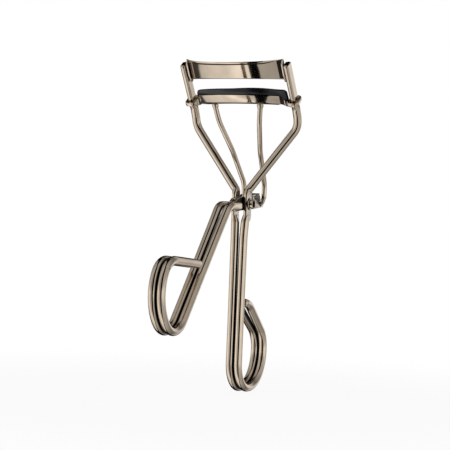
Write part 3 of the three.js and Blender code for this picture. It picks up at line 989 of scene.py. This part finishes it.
# ---------------------------------------------------------------------------
# Push rods
# ---------------------------------------------------------------------------
def push_rod(head_x):
    """The right push rod: its headed top end through the lower jaw, its hook in the yoke's ear."""
    corners = [
        (vec(head_x, HEAD[1], 30.6), 0),
        (vec(head_x * 0.98 + 0.13, HEAD[1] + 0.12, 30.0), 2),
        (vec(6.75, -4.1, 25.3), 9),
        (vec(4.68, 2.5, 16.6), 20),
        (vec(3.45, 10.2, 6.4), 5),
        (vec(3.45, 10.05, 2.5), 1.3),
        (vec(3.08, HOOK_Y, 0.75), 0.6),
        (vec(2.6, HOOK_Y, 0.36), 0.5),
        (vec(2.1, HOOK_Y, HOOK_Z), 0),
        (vec(1.3, HOOK_Y, HOOK_Z), 0),
    ]

    def radius(p):
        """The rod thins to its hook."""
        return HOOK_R + (ROD_R - HOOK_R) * smooth((p[2] - 0.5) / 2.5) if p[1] > 5 else ROD_R

    hook_end = (0.35, 0.35, 0.35)
    pts = shorten(path_of(corners, 0.3), 0.0, hook_end[0])
    rod = bar(pts, ROD_R, vec(0, 1, 0), sides=32, ends=(None, hook_end), taper=radius)
    profile = turned(
        [
            (0, 30.74, 0), (1.02, 30.74, 0.14), (1.08, 30.45, 0.1), (1.0, 30.0, 0.2),
            (0.84, 29.62, 0.2), (0.84, 29.45, 0.1), (0.5, 29.3, 0), (0, 29.3, 0),
        ]
    )
    axis = vec(0.2 * (head_x - 7.1), 0, 1)

    def place(a, b, h):
        k = h - 30.6
        return vec(head_x + a + k * axis[0], HEAD[1] - 0.02 + b - k * 0.12, h)

    return [rod, lathe(profile, place, 40)]


fuse("push_rod_right_skin", push_rod(7.3), [wire_metal], SHARP_WIRE)
fuse("push_rod_left_skin", [s.mirrored() for s in push_rod(7.85)], [wire_metal], SHARP_WIRE)

# ---------------------------------------------------------------------------
# Yoke: folded sheet with two cheeks, a web, a cross wall, a roof and two ears,
# and a dark sheet inside the right ear that is painted shade
# ---------------------------------------------------------------------------
def yoke():
    """The yoke's plates and the cutters for its holes."""
    c, s = math.cos(YOKE_TILT), math.sin(YOKE_TILT)

    def in_yz(y, z, x):
        return vec(x, y * c - z * s, y * s + z * c)

    cheek_line = [
        (-7.2, -1.9, 0.8), (4.4, -1.9, 0.3), (4.4, 2.7, 0.3), (0.5, 2.5, 1.2), (-5.6, 2.1, 1.2),
        (-7.3, 1.2, 1.0), (-8, -0.2, 0.8), (-7.9, -1.3, 0.6),
    ]
    ear_line = [
        (3.7, -1.9, 0.3), (12.3, -1.8, 0.7), (12.9, -0.6, 0.6), (12.7, 0.4, 0.6),
        (11.7, 0.9, 0.6), (7, 0.9, 0.8), (5.4, 1.1, 1.0), (4.4, 2.1, 0.8), (3.7, 2.1, 0.2),
    ]
    web_line = [
        (-5.6, 1.4, 0.3), (0.5, 1.8, 0.8), (4.4, 2, 0.1), (4.4, 2.7, 0.1), (0.5, 2.5, 0.8),
        (-5.6, 2.1, 0.3),
    ]
    far_ear_line = [
        (3.7, -1.9, 0.3), (12.3, -1.8, 0.7), (12.9, -0.6, 0.6), (12.6, 0.9, 0.8),
        (10.9, 2.66, 0.6), (3.7, 2.66, 0.2),
    ]
    painted_shade_sheet_line = [
        (4.05, -1.2, 0.1), (12.3, -1.2, 0.5), (12.6, 1.3, 0.5), (12.3, 2.1, 0.4),
        (10.5, 2.45, 0.4), (4.05, 2.35, 0.1),
    ]
    w = YOKE_HALF
    wall = [(-w, -1.85, 0.25), (w, -1.85, 0.25), (w, 2.65, 0.25), (-w, 2.65, 0.25)]
    roof = [(-w, 3.75, 0.25), (w, 3.75, 0.25), (w, 10.6, 1.1), (-w, 10.6, 1.1)]

    def in_xz(x, z, y):
        return in_yz(y, z, x)

    def in_xy(x, y, z):
        return in_yz(y, z, x)

    shells = [
        # painted shade on the cheeks' flat faces, the cross wall's flat faces and the far ear's inner
        # face
        plate(cheek_line, in_yz, CHEEK_X[0], CHEEK_X[1], 0.14, 5, 3, 0, [2, 2]),
        plate(cheek_line, in_yz, -CHEEK_X[1], -CHEEK_X[0], 0.14, 5, 3, 0, [2, 2]),
        plate(ear_line, in_yz, EAR_X[0], EAR_X[1], 0.12, 5, 3, 1),
        plate(far_ear_line, in_yz, -EAR_X[1], -EAR_X[0], 0.12, 5, 3, 1, [1, 2]),
        plate(web_line, in_yz, -1.0, 1.0, 0.05, 3, 2),
        plate(wall, in_xz, 3.72, 4.38, 0.12, 4, 3, 0, [2, 2]),
        plate(roof, in_xy, 2.02, 2.68, 0.14, 5, 3),
        # painted shade: a dark sheet inside the right ear that stands in for the shade between roof and
        # ear
        plate(painted_shade_sheet_line, in_yz, 0.85, 1.25, 0.1, 5, 3, 2),
    ]
    # the push rods' hooks lie level, so their holes are placed in the ear's own tilted frame
    hole_y, hole_z = HOOK_Y * c + HOOK_Z * s, HOOK_Z * c - HOOK_Y * s
    cutters = [
        bore(1.25, -2.0, 2.0),
        bore(HOOK_HOLE_R, 1.3, 2.7, hole_y, hole_z, YOKE_TILT),
        bore(HOOK_HOLE_R, -2.7, -1.3, hole_y, hole_z, YOKE_TILT),
    ]
    return shells, cutters


yoke_shells, yoke_cutters = yoke()
fuse(
    "lever_yoke_skin", yoke_shells, [strip_metal, coined_metal, painted_shade_metal], SHARP_SHEET,
    yoke_cutters,
)

# ---------------------------------------------------------------------------
# Pivot rivet
# ---------------------------------------------------------------------------
rivet_profile = turned(
    [
        (0, -3.66, 0), (0.95, -3.66, 0.3), (1.5, -3.3, 0.3), (1.5, -2.72, 0.08), (0.96, -2.68, 0),
        (0.96, 2.6, 0), (1.92, 2.6, 0), (1.92, 2.69, 0.03), (1.5, 2.69, 0), (1.58, 2.78, 0.05),
        (1.58, 3.02, 0.14), (1.26, 3.1, 0.06), (1.24, 3.3, 0.08), (1.46, 3.45, 0.1),
        (1.5, 4.12, 0.1), (1.42, 4.28, 0.06), (1.3, 4.28, 0.05), (1.18, 4.1, 0.1),
        (1.12, 3.5, 0.1), (0, 3.3, 0),
    ]
)
rivet = lathe(rivet_profile, lambda a, b, h: vec(h, a, b), 56)
# the hollow end, the groove round it and the seat against the wire get painted shade
for i, f in enumerate(rivet.faces):
    spots = [rivet.verts[k] for k in f]
    inside = all(math.hypot(p[1], p[2]) < 1.24 and p[0] > 3.25 for p in spots)
    groove = all(math.hypot(p[1], p[2]) < 1.36 and 3.05 < p[0] < 3.42 for p in spots)
    seat = all(math.hypot(p[1], p[2]) > 1.45 and 2.5 < p[0] < 2.72 for p in spots)
    if inside or groove or seat:
        rivet.index[i] = 1
pieces["pivot_rivet_skin"] = rivet.obj("pivot_rivet_skin", [strip_metal, painted_shade_metal], SHARP_SHEET)

# ---------------------------------------------------------------------------
# Bodies, slots, and the CAD solids each skin stands for
# ---------------------------------------------------------------------------
TABLE = [
    ("frame_wire_right_skin", "frame", "frame_wire_right", "plated_wire"),
    ("frame_wire_left_skin", "frame", "frame_wire_left", "plated_wire"),
    ("upper_jaw_skin", "frame", "upper_jaw", "plated_strip"),
    ("pivot_rivet_skin", "frame", "pivot_rivet", "plated_strip"),
    ("lever_yoke_skin", "lever", "lever_yoke", "plated_strip"),
    ("lever_wire_right_skin", "lever", "lever_wire_right", "plated_wire"),
    ("lever_wire_left_skin", "lever", "lever_wire_left", "plated_wire"),
    ("lower_jaw_skin", "jaw", "lower_jaw", "plated_strip"),
    ("rubber_pad_skin", "jaw", "rubber_pad", "pad_rubber"),
    ("push_rod_right_skin", "rods", "push_rod_right", "plated_wire"),
    ("push_rod_left_skin", "rods", "push_rod_left", "plated_wire"),
]
for name, body, node, slot_name in TABLE:
    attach(pieces[name], body)
    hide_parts(node)

# ---------------------------------------------------------------------------
# Camera: right of the front, level, a long way off, with the object leaning
# two degrees in the picture
# ---------------------------------------------------------------------------
CAMERA_AWAY = 550
tilt = math.radians(5.09)
azimuth, rise = math.radians(23.3), math.radians(5)


def from_view_frame(v):
    c, s = math.cos(tilt), math.sin(tilt)
    return vec(v[0], v[1] * c - v[2] * s, v[1] * s + v[2] * c)


sin_a, cos_a = math.sin(azimuth), math.cos(azimuth)
back_v = vec(sin_a * math.cos(rise), -cos_a * math.cos(rise), math.sin(rise))
right_v = vec(cos_a, sin_a, 0)
up_v = vec(-sin_a * math.sin(rise), cos_a * math.sin(rise), math.cos(rise))
offset = -5.141 * right_v - 6.625 * up_v + CAMERA_AWAY * back_v
eye = from_view_frame(offset) * MM + PIVOT
axes = [from_view_frame(v) for v in (right_v, up_v, back_v)]
cam_data = bpy.data.cameras.new("camera")
cam_data.sensor_width = 36
cam_data.sensor_fit = "HORIZONTAL"
cam_data.lens = 140.8
cam_data.clip_start, cam_data.clip_end = 0.01, 20
cam = bpy.data.objects.new("camera", cam_data)
rows = [(axes[0][i], axes[1][i], axes[2][i], eye[i]) for i in range(3)]
cam.matrix_world = Matrix(rows + [(0, 0, 0, 1)])
bpy.context.scene.collection.objects.link(cam)
bpy.context.scene.camera = cam

# ---------------------------------------------------------------------------
# Floor: a pale round sheet that fades out. Its measures are in metres.
# ---------------------------------------------------------------------------
FLOOR_SOLID_R, FLOOR_R = 0.06, 0.2
FLOOR_GAP = 0.0004


def floor_material():
    mat = bpy.data.materials.new("floor")
    mat.use_nodes = True
    tree = mat.node_tree
    tree.nodes.clear()
    out = tree.nodes.new("ShaderNodeOutputMaterial")
    diffuse = tree.nodes.new("ShaderNodeBsdfDiffuse")
    diffuse.inputs["Color"].default_value = (0.9, 0.9, 0.9, 1)
    glow = tree.nodes.new("ShaderNodeEmission")
    glow.inputs["Color"].default_value = (1, 1, 1, 1)
    glow.inputs["Strength"].default_value = 1.0
    blend = tree.nodes.new("ShaderNodeMixShader")
    blend.inputs["Fac"].default_value = 0.93
    tree.links.new(diffuse.outputs["BSDF"], blend.inputs[1])
    tree.links.new(glow.outputs["Emission"], blend.inputs[2])
    clear = tree.nodes.new("ShaderNodeBsdfTransparent")
    tex = tree.nodes.new("ShaderNodeTexCoord")
    length = tree.nodes.new("ShaderNodeVectorMath")
    length.operation = "LENGTH"
    tree.links.new(tex.outputs["Object"], length.inputs[0])
    fade = tree.nodes.new("ShaderNodeMapRange")
    fade.interpolation_type = "SMOOTHSTEP"
    fade.inputs["From Min"].default_value = FLOOR_SOLID_R
    fade.inputs["From Max"].default_value = FLOOR_R
    tree.links.new(length.outputs["Value"], fade.inputs["Value"])
    edge = tree.nodes.new("ShaderNodeMixShader")
    tree.links.new(fade.outputs["Result"], edge.inputs["Fac"])
    tree.links.new(blend.outputs["Shader"], edge.inputs[1])
    tree.links.new(clear.outputs["BSDF"], edge.inputs[2])
    tree.links.new(edge.outputs["Shader"], out.inputs["Surface"])
    return mat


def floor():
    lo, _ = cad_box
    mesh = bpy.data.meshes.new("floor")
    sides = 96
    angles = [2 * math.pi * k / sides for k in range(sides)]
    verts = [(FLOOR_R * math.cos(a), FLOOR_R * math.sin(a), 0) for a in angles]
    mesh.from_pydata(verts, [], [tuple(range(sides))])
    mesh.materials.append(floor_material())
    obj = bpy.data.objects.new("floor", mesh)
    obj.location = (0, 0, lo[2] - FLOOR_GAP)
    obj.visible_glossy = False
    bpy.context.scene.collection.objects.link(obj)


floor()

# ---------------------------------------------------------------------------
# Light: a white tent with a dark slot in the plane of the camera, as a
# procedural world. Seen directly the world is white.
# ---------------------------------------------------------------------------
def tent():
    world = bpy.data.worlds.new("tent")
    bpy.context.scene.world = world
    world.use_nodes = True
    tree = world.node_tree
    tree.nodes.clear()
    link = tree.links.new
    out = tree.nodes.new("ShaderNodeOutputWorld")
    tex = tree.nodes.new("ShaderNodeTexCoord")

    def dot(direction):
        d = tree.nodes.new("ShaderNodeVectorMath")
        d.operation = "DOT_PRODUCT"
        d.inputs[1].default_value = direction
        link(tex.outputs["Generated"], d.inputs[0])
        return d.outputs["Value"]

    def maths(op, a, b=None):
        m = tree.nodes.new("ShaderNodeMath")
        m.operation = op
        for socket, value in zip(m.inputs, (a, b)):
            if value is None:
                continue
            if isinstance(value, (int, float)):
                socket.default_value = value
            else:
                link(value, socket)
        return m.outputs["Value"]

    def curve(value, lo, hi, stops):
        m = tree.nodes.new("ShaderNodeMapRange")
        m.inputs["From Min"].default_value = lo
        m.inputs["From Max"].default_value = hi
        link(value, m.inputs["Value"])
        r = tree.nodes.new("ShaderNodeValToRGB")
        e = r.color_ramp.elements
        spots = [((p - lo) / (hi - lo), v) for p, v in stops]
        e[0].position, e[1].position = spots[0][0], spots[-1][0]
        e[0].color, e[1].color = (*[spots[0][1]] * 3, 1), (*[spots[-1][1]] * 3, 1)
        for p, v in spots[1:-1]:
            e.new(p).color = (v, v, v, 1)
        link(m.outputs["Result"], r.inputs["Fac"])
        return r.outputs["Color"]

    az = math.radians(23.2)
    side = dot((math.cos(az), math.sin(az), 0))
    front = dot((math.sin(az), -math.cos(az), 0))
    up = dot((0, 0, 1))
    grain = tree.nodes.new("ShaderNodeTexNoise")
    grain.inputs["Scale"].default_value = 3.2
    grain.inputs["Detail"].default_value = 2.0
    link(tex.outputs["Generated"], grain.inputs["Vector"])
    wander = maths("MULTIPLY", maths("SUBTRACT", grain.outputs["Fac"], 0.5), 0.12)
    right_wall = curve(front, -1, 1, [
        (-1, 0.75), (-0.85, 0.95), (-0.73, 0.98), (-0.64, 0.55), (-0.5, 0.36), (-0.2, 0.66),
        (0.15, 1.02), (0.45, 0.92), (0.68, 1.16), (0.88, 0.92), (1, 0.86),
    ])
    left_wall = curve(front, -1, 1, [
        (-1, 0.45), (-0.6, 0.6), (-0.2, 1.0), (0.1, 1.08), (0.27, 1.5), (0.42, 0.88),
        (0.56, 0.7), (0.7, 0.6), (1, 0.6),
    ])
    left_high = curve(up, -1, 1, [(0.05, 1.0), (0.3, 0.6), (0.85, 0.45)])
    right_tone = curve(up, -1, 1, [
        (-1, 0.7), (-0.8, 0.52), (-0.35, 0.62), (-0.1, 1.0), (0.08, 1.0), (0.3, 0.55), (0.85, 0.5),
    ])
    low = curve(up, -1, 1, [(-0.28, 1.0), (-0.15, 0.0)])
    behind = curve(front, -1, 1, [(-0.50, 0.9), (-0.44, 0.0)])
    corner = maths("SUBTRACT", 1.0, maths("MULTIPLY", low, behind))
    left_lit = maths("MULTIPLY", maths("MULTIPLY", left_wall, left_high), corner)
    pick = curve(side, -1, 1, [(-0.05, 0.0), (0.05, 1.0)])
    mix = tree.nodes.new("ShaderNodeMix")
    mix.data_type = "FLOAT"
    link(pick, mix.inputs["Factor"])
    link(left_lit, mix.inputs["A"])
    link(maths("MULTIPLY", right_wall, right_tone), mix.inputs["B"])
    width = curve(up, -1, 1, [
        (-1, 0.09), (-0.9, 0.11), (-0.8, 0.15), (-0.7, 0.26), (0, 0.315), (0.7, 0.31), (1, 0.18),
    ])
    shift = curve(up, -1, 1, [(-0.9, 0.0), (0.0, 0.05), (1, 0.03)])
    centred = maths("ADD", maths("ADD", side, wander), shift)
    reach = maths("DIVIDE", maths("ABSOLUTE", centred), width)
    slot = curve(reach, 0, 2, [(0.0, 0.005), (0.93, 0.008), (1.07, 1.0)])
    walls = maths("MULTIPLY", mix.outputs["Result"], slot)
    table = curve(up, -1, 1, [(-1, 0.86), (-0.6, 0.95), (-0.2, 0.9), (0.0, 1.0)])
    level = maths("MULTIPLY", maths("MULTIPLY", walls, table), 1.28)
    lamp = tree.nodes.new("ShaderNodeBackground")
    lamp.inputs["Color"].default_value = (1, 0.995, 0.985, 1)
    link(level, lamp.inputs["Strength"])
    white = tree.nodes.new("ShaderNodeBackground")
    white.inputs["Color"].default_value = (1, 1, 1, 1)
    white.inputs["Strength"].default_value = 1.0
    rays = tree.nodes.new("ShaderNodeLightPath")
    blend = tree.nodes.new("ShaderNodeMixShader")
    link(rays.outputs["Is Camera Ray"], blend.inputs["Fac"])
    link(lamp.outputs["Background"], blend.inputs[1])
    link(white.outputs["Background"], blend.inputs[2])
    link(blend.outputs["Shader"], out.inputs["Surface"])


tent()
bpy.context.scene.view_settings.view_transform = "Standard"
